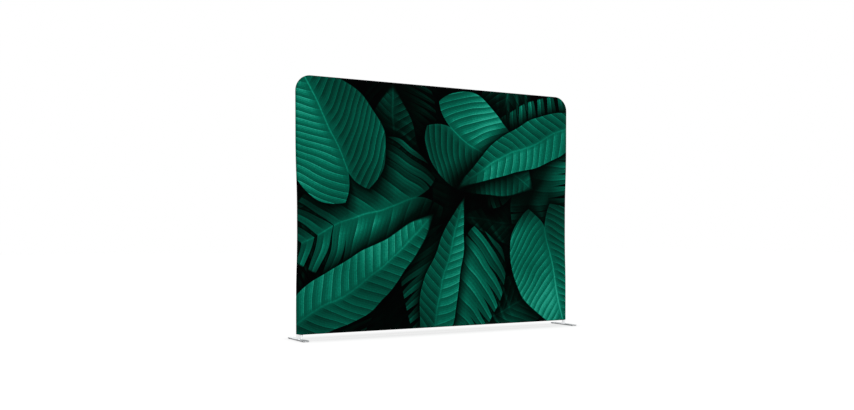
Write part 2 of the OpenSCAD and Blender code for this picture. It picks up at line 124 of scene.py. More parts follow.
class Paint:
    def __init__(self, name):
        self.material = bpy.data.materials.new(name)
        self.material.use_nodes = True
        self.tree = self.material.node_tree
        self.tree.nodes.clear()
        self.output = self.tree.nodes.new("ShaderNodeOutputMaterial")

    def add(self, kind, settings, sockets, out):
        # any node: its settings first, then the values or wires of its sockets
        node = self.tree.nodes.new(kind)
        for key, value in settings.items():
            if key == "stops":
                elements = node.color_ramp.elements
                while len(elements) > 1:
                    elements.remove(elements[-1])
                elements[0].position, elements[0].color = value[0]
                for place, colour in value[1:]:
                    elements.new(place).color = colour
            else:
                setattr(node, key, value)
        for key, value in sockets.items():
            socket = node.inputs[key]
            if isinstance(value, Wire):
                self.tree.links.new(value.socket, socket)
            else:
                socket.default_value = value
        if isinstance(out, tuple):
            return [Wire(self, node.outputs[name]) for name in out]
        return Wire(self, node.outputs[out])

    def sum(self, operation, *terms):
        # a Math node for plain numbers, or else Vector Math with each number spread to three
        flat = all(t.flat if isinstance(t, Wire) else not isinstance(t, tuple) for t in terms)
        if flat:
            return self.add("ShaderNodeMath", {"operation": operation}, dict(enumerate(terms)), 0)
        full = [t if isinstance(t, (Wire, tuple)) else (t, t, t) for t in terms]
        return self.add("ShaderNodeVectorMath", {"operation": operation}, dict(enumerate(full)), 0)

    def place(self):
        return self.add("ShaderNodeTexCoord", {}, {}, "Object")

    def named(self, name):
        return self.add("ShaderNodeAttribute", {"attribute_name": name}, {}, "Vector")

    def noise(self, where, scale, detail=2.0, rough=0.5, out="Fac"):
        return self.add("ShaderNodeTexNoise", {"noise_dimensions": "3D"},
                        {"Vector": where, "Scale": scale, "Detail": detail, "Roughness": rough}, out)

    def mix(self, share, first, second):
        return self.add("ShaderNodeMix", {"data_type": "RGBA"}, {0: share, 6: first, 7: second}, 2)

    def bump(self, height, strength, distance, normal=None):
        sockets = {"Height": height, "Strength": strength, "Distance": distance}
        if normal is not None:
            sockets["Normal"] = normal
        return self.add("ShaderNodeBump", {}, sockets, "Normal")

    def finish(self, **sockets):
        # the shader itself; names come in camelCase and become the socket's own
        names = {"baseColor": "Base Color", "specular": "Specular IOR Level",
                 "emissionColor": "Emission Color", "emissionStrength": "Emission Strength"}
        shader = self.add("ShaderNodeBsdfPrincipled", {},
                          {names.get(k, k.capitalize()): v for k, v in sockets.items()}, "BSDF")
        self.tree.links.new(shader.socket, self.output.inputs["Surface"])
        return self.material


# Mesh helpers

def gridFaces(rows, columns, flip=False):
    # the quads of a grid of points, row by row
    index = np.arange(rows * columns).reshape(rows, columns)
    quads = np.stack([index[:-1, :-1], index[:-1, 1:], index[1:, 1:], index[1:, :-1]], -1).reshape(-1, 4)
    return quads[:, ::-1] if flip else quads


def meshFrom(name, points, faces, material, smooth=True, attributes=None):
    # a piece from its points, its faces of equal corner count, and its vectors at each point
    points = np.asarray(points, np.float32).reshape(-1, 3)
    faces = np.asarray(faces, np.int32)
    corners = faces.shape[1]
    mesh = bpy.data.meshes.new(name)
    mesh.vertices.add(len(points))
    mesh.vertices.foreach_set("co", points.ravel())
    mesh.loops.add(faces.size)
    mesh.loops.foreach_set("vertex_index", faces.ravel())
    mesh.polygons.add(len(faces))
    mesh.polygons.foreach_set("loop_start", np.arange(0, faces.size, corners, dtype=np.int32))
    mesh.polygons.foreach_set("use_smooth", np.full(len(faces), smooth))
    for key, values in (attributes or {}).items():
        layer = mesh.attributes.new(key, "FLOAT_VECTOR", "POINT")
        layer.data.foreach_set("vector", np.asarray(values, np.float32).ravel())
    mesh.update(calc_edges=True)
    mesh.validate()
    mesh.materials.append(material)
    piece = bpy.data.objects.new(name, mesh)
    scene.collection.objects.link(piece)
    return piece


def thicken(piece, depth):
    # a wall grown inwards from the outer surface
    solid = piece.modifiers.new("thickness", "SOLIDIFY")
    solid.thickness = depth
    solid.offset = -1


# Camera, fitted to the photograph's edges and feet

cameraFacts = {"place": (-3.8977, -6.5692, 0.7921), "turn": -0.52027, "down": 0.02607,
               "focal": 949.66, "middle": (427.15, 258.2), "frameWidth": 854, "frameHeight": 410}

eye = bpy.data.cameras.new("photoCamera")
eye.sensor_fit = "HORIZONTAL"
eye.sensor_width = 36
eye.lens = cameraFacts["focal"] * 36 / cameraFacts["frameWidth"]
eye.shift_x = (cameraFacts["frameWidth"] / 2 - cameraFacts["middle"][0]) / cameraFacts["frameWidth"]
eye.shift_y = (cameraFacts["middle"][1] - cameraFacts["frameHeight"] / 2) / cameraFacts["frameWidth"]
eye.clip_end = 60
camera = bpy.data.objects.new("photoCamera", eye)
camera.location = cameraFacts["place"]
camera.rotation_euler = (math.pi / 2 - cameraFacts["down"], 0, cameraFacts["turn"])
scene.collection.objects.link(camera)
scene.camera = camera
print("camera set")

# Studio: white floor and backdrop for the camera and for reflections, soft light

studio = {"floorTone": 0.80, "shownTone": 0.12, "floorLift": 0.94, "farLift": 0.06, "contactReach": 0.27,
          "contactShade": 0.62, "worldLevel": 0.45, "keyWatts": 235, "keyPlace": (-1.4, -6.6, 4.4),
          "fillWatts": 95, "fillPlace": (3.6, -5.6, 2.6), "backWatts": 150, "backPlace": (0.0, 5.5, 4.4),
          "backSize": 5.0, "aim": (0, 0, 0.9), "floorReach": 30.0, "liftFrom": 1.6, "liftTo": 5.0}

scene.view_settings.view_transform = "Standard"
world = bpy.data.worlds.new("studioAir")
world.use_nodes = True
scene.world = world
air = world.node_tree
air.nodes.clear()
airOut = air.nodes.new("ShaderNodeOutputWorld")


def whiteSky(strength):
    sky = air.nodes.new("ShaderNodeBackground")
    sky.inputs["Color"].default_value = (1, 1, 1, 1)
    sky.inputs["Strength"].default_value = strength
    return sky.outputs[0]


def larger(first, second):
    node = air.nodes.new("ShaderNodeMath")
    node.operation = "MAXIMUM"
    air.links.new(first, node.inputs[0])
    air.links.new(second, node.inputs[1])
    return node.outputs[0]


# the air is plain white to the camera and in reflections, and a soft light to the object
rays = air.nodes.new("ShaderNodeLightPath")
glossyOrClear = larger(rays.outputs["Is Glossy Ray"], rays.outputs["Is Transmission Ray"])
choose = air.nodes.new("ShaderNodeMixShader")
air.links.new(larger(rays.outputs["Is Camera Ray"], glossyOrClear), choose.inputs[0])
air.links.new(whiteSky(studio["worldLevel"]), choose.inputs[1])
air.links.new(whiteSky(1), choose.inputs[2])
air.links.new(choose.outputs[0], airOut.inputs["Surface"])


def softLamp(name, place, target, watts, size=3.5):
    # a square lamp turned to face its target
    lamp = bpy.data.lights.new(name, "AREA")
    lamp.shape = "SQUARE"
    lamp.size = size
    lamp.energy = watts
    holder = bpy.data.objects.new(name, lamp)
    holder.location = place
    aim = np.array(target, float) - np.array(place, float)
    flat = math.hypot(aim[0], aim[1])
    holder.rotation_euler = (math.atan2(flat, -aim[2]), 0, math.atan2(aim[1], aim[0]) - math.pi / 2)
    scene.collection.objects.link(holder)


softLamp("keyLamp", studio["keyPlace"], studio["aim"], studio["keyWatts"])
softLamp("fillLamp", studio["fillPlace"], studio["aim"], studio["fillWatts"])
softLamp("backLamp", studio["backPlace"], studio["aim"], studio["backWatts"], studio["backSize"])

# The floor lights the object as a plain pale floor. To the camera and in reflections it is a white
# sweep that keeps the object's shadow, with a soft shade close under the panel.
floorPaint = Paint("studioFloor")
seenRays = floorPaint.add("ShaderNodeLightPath", {}, {},
                          ("Is Camera Ray", "Is Glossy Ray", "Is Transmission Ray"))
shown = seenRays[0].atLeast(seenRays[1]).atLeast(seenRays[2])
floorTone = shown.times(studio["shownTone"] - studio["floorTone"], studio["floorTone"])
openSky = floorPaint.add("ShaderNodeAmbientOcclusion", {"samples": 16},
                         {"Distance": studio["contactReach"]}, "AO")
away = floorPaint.add("ShaderNodeVectorMath", {"operation": "LENGTH"}, {0: floorPaint.place()}, "Value")
lift = away.ramp(studio["liftFrom"], studio["liftTo"]).times(studio["farLift"], studio["floorLift"])
lift = shown * lift * openSky.times(studio["contactShade"], 1 - studio["contactShade"])
black = (0, 0, 0, 1)
paper = (1, 1, 1, 1)
floorMaterial = floorPaint.finish(
    baseColor=floorPaint.mix(floorTone, black, paper), roughness=0.9, specular=0.0,
    emissionColor=floorPaint.mix(lift, black, paper), emissionStrength=1.0)

reach = studio["floorReach"]
floorCorners = [(-reach, -reach, 0), (reach, -reach, 0), (reach, reach, 0), (-reach, reach, 0)]
floor = meshFrom("studioFloor", floorCorners, [(0, 1, 2, 3)], floorMaterial, smooth=False)
print("studio set")

# Sizes of the divider that its new pieces follow, in metres, as the CAD has them

divider = {"uprightX": 1.234, "topZ": 1.947, "bendR": 0.103, "tubeR": 0.016, "skinOut": 0.0173,
           "axisZ": 0.0563, "sleeveZ": 0.039, "hemRise": 0.007, "hemSlot": 0.011, "jointZ": 0.887,
           "bow": 0.0102, "bowH": 0.555, "bowRest": 0.066, "cornerEndX": 1.051, "cornerEndZ": 1.764,
           "railZ": 0.0598, "buttonPitch": 0.030, "stubPitch": 0.042}


def bowShift(height):
    # how far the pulled-in upright lies inwards of its feet at a height
    facts = divider
    along = facts["bowRest"] + facts["bowH"] - np.abs(height - facts["jointZ"])
    along = np.clip(along, 0, facts["bowH"])
    radius = (facts["bowH"] ** 2 + facts["bow"] ** 2) / (4 * facts["bow"])
    outer = radius - np.sqrt(radius ** 2 - along ** 2)
    inner = facts["bow"] - radius + np.sqrt(radius ** 2 - (facts["bowH"] - along) ** 2)
    return np.where(along < facts["bowH"] / 2, outer, inner)


def steps(start, end, count):
    # count equal steps from start to end, with both ends
    return np.linspace(start, end, count + 1)


# Printed sleeve. A grid in cloth coordinates: (s, t) run over the flat cloth. Beyond the bend's
# centre a square is drawn into a disc, the distance from the centre is rho, and past the tube's
# middle line the cloth turns round the tube: depth = R cos((rho - bend) / R).

sleeve = {"flatStep": 0.020, "bendSteps": 16, "cuffSteps": 8, "topSteps": 20, "roundSteps": 10,
          "underSteps": 10, "groove": 0.00022, "grooveReach": 0.0012, "thickness": 0.0009}


def sleeveGrid():
    facts = divider
    r, bend = facts["skinOut"], facts["bendR"]
    coreX, coreZ = facts["uprightX"] - bend, facts["topZ"] - bend
    edge = bend + r * math.pi / 2
    cuff = bend - r
    turnOut = steps(bend, edge, sleeve["roundSteps"])[1:]
    sideOut = np.concatenate([steps(0, cuff, sleeve["bendSteps"])[1:],
                              steps(cuff, bend, sleeve["cuffSteps"])[1:], turnOut])
    flat = steps(-coreX, coreX, int(2 * coreX / sleeve["flatStep"]))
    across = np.concatenate([-coreX - sideOut[::-1], flat, coreX + sideOut])
    upFlat = steps(facts["axisZ"], coreZ, int((coreZ - facts["axisZ"]) / sleeve["flatStep"]))
    upOut = np.concatenate([steps(0, bend, sleeve["topSteps"])[1:], turnOut])
    up = np.concatenate([upFlat, coreZ + upOut])
    under = steps(1, 0, sleeve["underSteps"])[:-1]      # 1 at the hem, 0 at the bottom edge's middle line
    s, t = np.meshgrid(across, up)
    side = np.sign(s)
    a = np.maximum(np.abs(s) - coreX, 0) / edge
    b = np.maximum(t - coreZ, 0) / edge
    px, pz = a * np.sqrt(1 - b * b / 2) * edge, b * np.sqrt(1 - a * a / 2) * edge
    rho = np.hypot(px, pz)
    safe = np.maximum(rho, 1e-9)
    dx, dz = np.where(rho > 1e-9, px / safe, 0), np.where(rho > 1e-9, pz / safe, 0)
    turn = np.maximum(rho - bend, 0) / r
    out = np.minimum(rho, bend) + r * np.sin(turn)
    depth = r * np.cos(turn)
    x = side * (np.minimum(np.abs(s), coreX) + dx * out)
    z = np.minimum(t, coreZ) + dz * out
    clothX = side * (np.minimum(np.abs(s), coreX) + dx * rho)
    clothZ = np.minimum(t, coreZ) + dz * rho
    seamAcross = edge - rho
    angle = np.arctan2(pz, np.maximum(px, 1e-9))
    inBend = (a > 0) & (b > 0)
    seamAlong = np.where(b <= 0, t, np.where(inBend, coreZ + angle * (bend + r),
                                            coreZ + math.pi / 2 * (bend + r) + coreX - np.abs(s)))
    # Underside, round the bottom rail to the zip, or straight down round the uprights. d is the way
    # inwards from an upright's middle, q runs from the middle line to the hem, and e is the way down.
    d = facts["uprightX"] - np.abs(x[0])
    fullTurn = math.acos(facts["hemSlot"] / 2 / r)
    hemZ = facts["sleeveZ"] + facts["hemRise"] * (r - d) / (2 * r + mm)
    reachDown = np.where(d > r - 1e-6, r * math.sin(fullTurn), facts["axisZ"] - hemZ)
    reachDown = np.where(np.abs(d - r) < 1e-6, r, reachDown)
    q = under[:, None]
    e = reachDown[None, :] * np.sin(fullTurn * q) / math.sin(fullTurn)
    inner = np.where(d > r - 1e-6, 1.0, np.clip(d, 0, r) / r)[None, :] * r
    m = np.minimum(inner, e)
    yRound = -np.sqrt(np.maximum(r * r - m * m, 0))
    yOuter = -depth[0][None, :] + 0 * e
    yUnder = np.where(d[None, :] < 0, yOuter, yRound)
    xUnder = x[0][None, :] + 0 * e
    zUnder = facts["axisZ"] - e
    clothZUnder = facts["axisZ"] - q * fullTurn * r + 0 * e
    x = np.vstack([xUnder, x])
    y = np.vstack([yUnder, -depth])
    z = np.vstack([zUnder, z])
    cloth = np.stack([np.vstack([clothX[:1] + 0 * e, clothX]), 0 * x, np.vstack([clothZUnder, clothZ])], -1)
    along = np.vstack([zUnder, seamAlong])
    acrossSeam = np.vstack([seamAcross[:1] + 0 * e, seamAcross])
    hemFar = cloth[..., 2] - (facts["axisZ"] - fullTurn * r)
    stitch = np.stack([along, acrossSeam, hemFar], -1)
    x = x * (1 - bowShift(z) / facts["uprightX"])
    # the seam sits in a shallow groove
    dip = sleeve["groove"] * np.exp(-(acrossSeam / sleeve["grooveReach"]) ** 2)
    shrinkX = np.where(np.abs(x) > coreX, dip * np.abs(np.vstack([dx[:1] + 0 * e, dx])), 0)
    shrinkZ = dip * np.vstack([0 * e, dz])
    x, z = x - np.sign(x) * shrinkX, z - shrinkZ
    return np.stack([x, y, z], -1), cloth, stitch


# Print of the sleeve: a generic planting of big leaves, drawn back to front. Each leaf has its own
# coordinates, s from its foot to its tip and t across, in leaf lengths. inside is
# 6.75 s (1 - s)^2 - (t / halfWidth)^2, above 0 on the leaf; beat counts the side ribs, which run
# forward from the midrib; cut opens slots between the ribs and notch parts the lobes at the foot.
# Three leaves are worked out at once, one in each part of a vector.

leafPrint = {
    "warp": 0.10, "warpScale": 2.4, "shadow": 0.92, "shadowReach": 0.72, "tipFall": 5.0, "notchRise": 0.03,
    "edgeSharpness": 40, "sideSharp": 6, "toneShift": -0.096, "fineRibs": 4, "fineShare": 0.35,
    "midribSharp": 110, "foldSharp": 6, "foldStart": -5.04, "foldShare": 0.3, "bulge": 0.56,
    "rim": 0.06, "rimRise": -7, "mottle": 0.05, "mottleScale": 9.0, "driftScale": 1.4,
    "fibre": 0.36, "fibreScale": 75,
    "stops": [(0.0, display(0, 0, 0)), (0.12, display(0, 14, 9)), (0.37, display(2, 49, 38)),
              (0.62, display(3, 85, 67)), (0.76, display(8, 117, 94)), (0.92, display(36, 156, 131))],
    "columns": ("x", "z", "angle", "length", "halfWidth", "bend", "lobe", "ribs", "slope", "arch",
                "cut", "cutShape", "notch", "tone", "side", "quilt", "rib"),
    "leaves": [
        # far back fronds
        (-1.1, -0.15, 80, 1.45, 0.24, 0.2, 0.02, 20, 0.85, 0, 0.95, 1.5, 0, 0.16, 0.03, 0.1, 0.1),
        (0.3, 0.1, 62, 1.35, 0.24, -0.18, 0.02, 19, 0.85, 0, 0.95, 1.5, 0, 0.18, 0.03, 0.1, 0.1),
        (-0.45, 2.15, -75, 1.3, 0.24, 0.12, 0.02, 18, 0.85, 0, 0.95, 1.5, 0, 0.15, 0.03, 0.1, 0.1),
        # middle leaves
        (-0.55, 0.75, 85, 1.25, 0.25, 0.1, 0.12, 17, 0.75, 0.04, 0, 2, 0, 0.32, 0.06, 0.28, 0.22),
        (0.45, 0.55, 118, 1.15, 0.26, -0.1, 0.12, 16, 0.75, 0.04, 0, 2, 0, 0.3, -0.06, 0.28, 0.22),
        (1.35, 0.75, 172, 1.2, 0.22, 0.12, 0.12, 17, 0.75, 0.04, 0, 2, 0, 0.28, 0.06, 0.28, 0.22),
        (-1.3, 0.95, -28, 1.15, 0.22, -0.1, 0.12, 17, 0.75, 0.04, 0, 2, 0, 0.28, 0.06, 0.28, 0.22),
        (0.25, 0.02, 25, 1.2, 0.22, 0.12, 0.12, 16, 0.75, 0.04, 0, 2, 0, 0.31, -0.06, 0.28, 0.22),
        (0.65, 2.05, -100, 1.1, 0.24, 0.1, 0.12, 16, 0.75, 0.04, 0, 2, 0, 0.28, 0.06, 0.28, 0.22),
        # front split leaves
        (0.72, 1.15, 52, 1.1, 0.46, -0.08, 0.24, 8, 0.62, 0.12, 0.62, 2.4, 6, 0.5, -0.09, 0.3, 0.14),
        (-0.3, 1.05, 200, 1.25, 0.44, 0.08, 0.24, 8, 0.62, 0.12, 0.6, 2.4, 6, 0.47, 0.09, 0.3, 0.14),
        (0.15, 0.62, 262, 1.1, 0.44, 0.08, 0.24, 8, 0.62, 0.12, 0.6, 2.4, 6, 0.45, 0.09, 0.3, 0.14),
        # front heart leaves
        (-0.85, 1.3, 118, 0.95, 0.44, 0.06, 0.26, 14, 0.55, 0.14, 0, 2, 6, 0.53, 0.1, 0.3, 0.18),
        (1.02, 0.8, 285, 0.95, 0.44, 0.06, 0.26, 14, 0.55, 0.14, 0, 2, 6, 0.55, -0.1, 0.3, 0.18),
        (0.1, 1.62, -30, 0.95, 0.4, 0.06, 0.26, 14, 0.55, 0.14, 0, 2, 6, 0.51, 0.1, 0.3, 0.18),
        # front long leaves
        (-1.25, 0.12, 35, 1.45, 0.16, 0.16, 0.05, 18, 0.55, 0.02, 0, 2, 0, 0.61, 0.1, 0.26, 0.14),
        (1.35, 1.72, 205, 1.35, 0.15, 0.14, 0.05, 17, 0.55, 0.02, 0, 2, 0, 0.57, 0.1, 0.26, 0.14),
        (-0.1, -0.1, 75, 1.25, 0.14, -0.12, 0.05, 17, 0.55, 0.02, 0, 2, 0, 0.55, -0.1, 0.26, 0.14),
    ],
}


def vector(values):
    # three leaves' values as the three parts of a vector
    return tuple(float(v) for v in values)


def leafTrio(x, z, rows):
    # mask, shade and tone of three leaves; the shade falls off outside each leaf
    get = dict(zip(leafPrint["columns"], np.array(rows, float).T))
    c = np.cos(np.radians(get["angle"])) / get["length"]
    n = np.sin(np.radians(get["angle"])) / get["length"]
    s = x.times(vector(c), z.times(vector(n), vector(-get["x"] * c - get["z"] * n)))
    t = z.times(vector(c), x.times(vector(-n), vector(get["x"] * n - get["z"] * c)))
    t = s.times(vector(-get["bend"]), vector(get["bend"])).times(s, t)
    far = abs(t)
    reach = s.times(vector(1 / (1 + get["lobe"])), vector(get["lobe"] / (1 + get["lobe"])))
    left = 1 - reach
    rest = left.atLeast(0)
    hump = reach * rest
    wide = t * vector(1 / get["halfWidth"])
    wide2 = wide * wide
    inside = left.atMost(0).times(leafPrint["tipFall"], hump * rest * 6.75 - wide2)
    ribs = get["ribs"]
    arched = wide2 * vector(-ribs * get["arch"])
    beat = s.times(vector(ribs), far.times(vector(-ribs * get["slope"]), arched))
    phase = beat.fraction()
    fold = abs(phase.times(2, -1))
    if get["cut"].any():
        inside = inside - fold.times(vector(-get["cut"] * get["cutShape"]), vector(get["cut"])).atLeast(0)
    if get["notch"].any():
        behind = s.atMost(0)
        lobes = (behind * behind).times(vector(-2 * get["notch"]), leafPrint["notchRise"])
        inside = inside.atMost(far.times(vector(get["notch"]), lobes))
    mask = (inside * leafPrint["edgeSharpness"]).between(0, 1)
    near = inside.times(leafPrint["shadowReach"], 1).between(0, 1)
    near = near * near * leafPrint["shadow"]
    side = (wide * leafPrint["sideSharp"]).between(-1, 1)
    quilt = get["quilt"]
    fine = (beat * leafPrint["fineRibs"]).fraction()
    share = leafPrint["fineShare"]
    level = vector(get["side"] - (1 + share) / 2 * quilt)
    fall = phase.times(vector(quilt), fine.times(vector(share * quilt), level))
    edge = inside.times(leafPrint["rimRise"], 1).atLeast(0)
    tone = side.times(fall, vector(get["tone"] + leafPrint["toneShift"]))
    tone = far.times(-leafPrint["midribSharp"], 1).atLeast(0).times(vector(get["rib"]), tone)
    crease = fold.times(leafPrint["foldSharp"], leafPrint["foldStart"]).atLeast(0)
    tone = crease.times(vector(leafPrint["foldShare"] * get["rib"]), tone)
    tone = hump.times(leafPrint["bulge"], edge.times(leafPrint["rim"], tone))
    return zip(mask.split(), near.split(), tone.split())


def leafTone(paint, cloth):
    # the whole print as one brightness: each leaf shades what lies under it, then covers it
    warp = paint.noise(cloth, leafPrint["warpScale"], 1.0, out="Color")
    moved = (warp - 0.5).times(leafPrint["warp"], cloth)
    x, _, z = moved.split()
    mottle = paint.noise(cloth, leafPrint["mottleScale"], 3.0)
    tone = mottle.times(leafPrint["mottle"], 0.015)
    rows = leafPrint["leaves"]
    for first in range(0, len(rows), 3):
        for mask, near, leaf in leafTrio(x, z, rows[first:first + 3]):
            tone = tone * (1 - near)
            tone = (leaf - tone).times(mask, tone)
    drift = paint.noise(cloth, leafPrint["driftScale"], 1.0)
    fibre = paint.noise(cloth, leafPrint["fibreScale"], 4.0, 0.6)
    fibre = fibre.times(leafPrint["fibre"], 1 - leafPrint["fibre"] / 2)
    return drift.times(1.0, 0.5) * fibre * tone + mottle.times(0.06, -0.03)


# Knit of the sleeve: columns of V stitches, pressed seams and two rows of hem stitches

knit = {"wale": 0.0009, "course": 0.0007, "gapShade": 0.30, "yarnShade": 0.26, "yarnScale": 900,
        "seamStitch": 0.0032, "seamReach": 0.004, "seamLine": 0.0005, "seamColour": display(3, 22, 17),
        "hemRows": (0.0052, 0.0084), "hemStitch": 0.0030, "threadHalf": 0.00045,
        "threadColour": display(8, 40, 32)}


def sleeveMaterial():
    paint = Paint("printedKnit")
    cloth = paint.named("cloth")
    seamAlong, seamAcross, hemFar = paint.named("stitch").split()
    x, _, z = cloth.split()
    tone = leafTone(paint, cloth)
    colour = paint.add("ShaderNodeValToRGB", {"stops": leafPrint["stops"]}, {"Fac": tone}, "Color")
    wale = (x / knit["wale"]).fraction()
    vee = abs(wale.times(2, -1))
    course = (z / knit["course"] + vee * 0.5).fraction()
    loops = (1 - vee * vee) * (1 - abs(course.times(2, -1)) ** 2)
    seam = (1 - seamAcross / knit["seamReach"]).atLeast(0)
    pucker = (seamAlong * (2 * math.pi / knit["seamStitch"])).wave().times(0.5, 0.5) * seam
    line = (1 - seamAcross / knit["seamLine"]).atLeast(0)
    dash = abs((x / knit["hemStitch"]).fraction().times(2, -1)).ramp(0.86, 0.70)
    rows = None
    for place in knit["hemRows"]:
        row = (1 - abs(hemFar - place) / knit["threadHalf"]).atLeast(0)
        rows = row if rows is None else rows.atLeast(row)
    thread = (rows * dash * 1.6).atMost(1)
    colour = paint.mix((line * 0.6).atMost(1), colour, knit["seamColour"])
    colour = paint.mix(thread * 0.75, colour, knit["threadColour"])
    yarn = paint.noise(cloth, knit["yarnScale"], 1.0)
    colour = colour * yarn.times(knit["yarnShade"], 1 - knit["yarnShade"] / 2)
    colour = colour * loops.times(knit["gapShade"], 1 - knit["gapShade"] * 0.45)
    hills = paint.bump(loops * 0.8 + yarn * 0.4, 0.55, 0.00015)
    hills = paint.bump(thread - rows * 0.5 - pucker * 0.8, 0.6, 0.0003, hills)
    return paint.finish(baseColor=colour, roughness=yarn.times(0.12, 0.74), specular=0.012, normal=hills)


printedKnit = sleeveMaterial()
print("print drawn,", len(leafPrint["leaves"]), "leaves")

points, cloth, stitch = sleeveGrid()
rows, columns = points.shape[:2]
sleeveFront = meshFrom("sleeveFront", points, gridFaces(rows, columns), printedKnit,
                       attributes={"cloth": cloth, "stitch": stitch})
backPoints = points * np.array([1, -1, 1])
sleeveBack = meshFrom("sleeveBack", backPoints, gridFaces(rows, columns, flip=True), printedKnit,
                      attributes={"cloth": cloth, "stitch": stitch})
for piece, node in ((sleeveFront, "sleeve_front"), (sleeveBack, "sleeve_back")):
    thicken(piece, sleeve["thickness"])
    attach(piece, "frame")
    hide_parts(node)
print("sleeve made", rows, columns)

# Zip under the bottom edge: two woven tapes, curved with the sleeve, and their rows of teeth

zipFacts = {"half": 1.2137, "teethHalf": 1.2107, "tapeOut": 0.01625, "tapeT": 0.0008, "tapeW": 0.012,
            "teethEdge": 0.0030, "teethZ": 0.04045, "teethH": 0.0024, "pitch": 0.0025,
            "firstTooth": 0.0014, "lastTooth": 0.0012, "chamfer": 0.0004, "capSize": 0.80,
            "turnSteps": 12, "lengthSteps": 240, "twill": 0.0006, "weft": 0.00045, "ribAt": 0.0012}


def tapeMaterial():
    # twill: threads run slantwise in fine steps; a denser woven rib lies by the teeth
    paint = Paint("zipTapeWeave")
    x, _, across = paint.named("cloth").split()
    twill = ((x + across) / zipFacts["twill"]).fraction()
    weft = (across / zipFacts["weft"]).fraction()
    thread = (1 - abs(twill.times(2, -1)) ** 2) * (1 - abs(weft.times(2, -1)) ** 2)
    rib = abs(across - zipFacts["ribAt"]).ramp(0.0006, 0.0002)
    dust = paint.noise(paint.named("cloth"), 60, 3.0)
    colour = paint.mix(thread * 0.5, display(9, 13, 12), display(26, 34, 31))
    colour = paint.mix(dust.times(0.35, -0.08), colour, display(48, 54, 50))
    hills = paint.bump(thread + rib * 3, 0.6, 0.0002)
    return paint.finish(baseColor=colour, roughness=dust.times(0.15, 0.72), specular=0.2, normal=hills)


def zipTapeGrid():
    # an arc round the bottom edge's middle line, carried along X: (angle, x)
    facts = zipFacts
    start = math.asin(facts["teethEdge"] / facts["tapeOut"])
    angle = steps(start, start + facts["tapeW"] / facts["tapeOut"], facts["turnSteps"])
    x = steps(-facts["half"], facts["half"], facts["lengthSteps"])
    turn, along = np.meshgrid(angle, x, indexing="ij")
    r = facts["tapeOut"]
    points = np.stack([along, -r * np.sin(turn), divider["axisZ"] - r * np.cos(turn)], -1)
    cloth = np.stack([along, 0 * along, (turn - start) * r], -1)
    return points, cloth


def teethRow(shift):
    # every tooth is one outline, a foot on the tape, a neck and a wider head, at four heights: the
    # outer two are smaller, which bevels the tooth's faces
    facts = zipFacts
    outline = np.array([(-0.75, 0.0), (-0.75, 0.9), (-0.45, 1.25), (-0.85, 1.75), (-0.6, 2.25), (0.6, 2.25),
                        (0.85, 1.75), (0.45, 1.25), (0.75, 0.9), (0.75, 0.0)]) * mm
    centres = np.arange(-facts["teethHalf"] + facts["firstTooth"] + shift,
                        facts["teethHalf"] - facts["lastTooth"], facts["pitch"])
    half, full, cap = facts["teethH"] / 2, 1.0, facts["capSize"]
    inner = half - facts["chamfer"]
    levels = ((-half, cap), (-inner, full), (inner, full), (half, cap))
    rings = []
    middle = outline.mean(0)
    for z, size in levels:
        ring = (outline - middle) * size + middle
        height = np.full(len(ring), facts["teethZ"] + z)
        rings.append(np.column_stack([ring[:, 0], ring[:, 1] - facts["teethEdge"], height]))
    tooth = np.vstack(rings)
    points = tooth[None] + np.stack([centres, 0 * centres, 0 * centres], -1)[:, None]
    count = len(outline)
    k = np.arange(count)
    nextK = (k + 1) % count
    wall = np.stack([k, nextK, nextK + count, k + count], -1)
    walls = np.vstack([wall + count * i for i in range(len(levels) - 1)])
    caps = np.array([(0, 9, 8, 1), (1, 8, 7, 2), (2, 7, 6, 3), (3, 6, 5, 4)])
    faces = np.vstack([walls[:, ::-1], caps[:, ::-1], caps + count * (len(levels) - 1)])
    faces = faces[None] + len(tooth) * np.arange(len(centres))[:, None, None]
    return points.reshape(-1, 3), faces.reshape(-1, 4)


def nylonMaterial():
    paint = Paint("teethNylon")
    place = paint.place()
    speck = paint.noise(place, 700, 2.0)
    wear = paint.noise(place, 25, 2.0)
    colour = paint.mix(wear.times(0.8, -0.2), display(12, 15, 14), display(34, 38, 36))
    return paint.finish(baseColor=colour, roughness=speck.times(0.25, 0.30), specular=0.45,
                        normal=paint.bump(speck, 0.15, 0.0001))


tapeWeave = tapeMaterial()
teethNylon = nylonMaterial()
tapePoints, tapeCloth = zipTapeGrid()
for side, name, shift in ((1, "front", 0.0), (-1, "back", zipFacts["pitch"] / 2)):
    flipped = np.array([1, side, 1])
    tapeFaces = gridFaces(*tapePoints.shape[:2], flip=side < 0)
    tape = meshFrom("zipTape" + name.capitalize(), tapePoints * flipped, tapeFaces, tapeWeave,
                    attributes={"cloth": tapeCloth})
    thicken(tape, zipFacts["tapeT"])
    teethPoints, teethFaces = teethRow(shift)
    teeth = meshFrom("zipTeeth" + name.capitalize(), teethPoints * flipped,
                     teethFaces if side > 0 else teethFaces[:, ::-1], teethNylon, smooth=False)
    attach(tape, "frame")
    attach(teeth, "frame")
    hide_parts("zip_tape_" + name)
    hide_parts("zip_teeth_" + name)
    "sleeve" + name.capitalize()
print("zip made")


# Metals and rubber of the frame and feet. Streaks are noise stretched along the way that the metal
# was drawn or rolled.

def shaded(colour, share):
    # the colour at a share of its brightness
    return tuple(share * c for c in colour[:3]) + (1,)


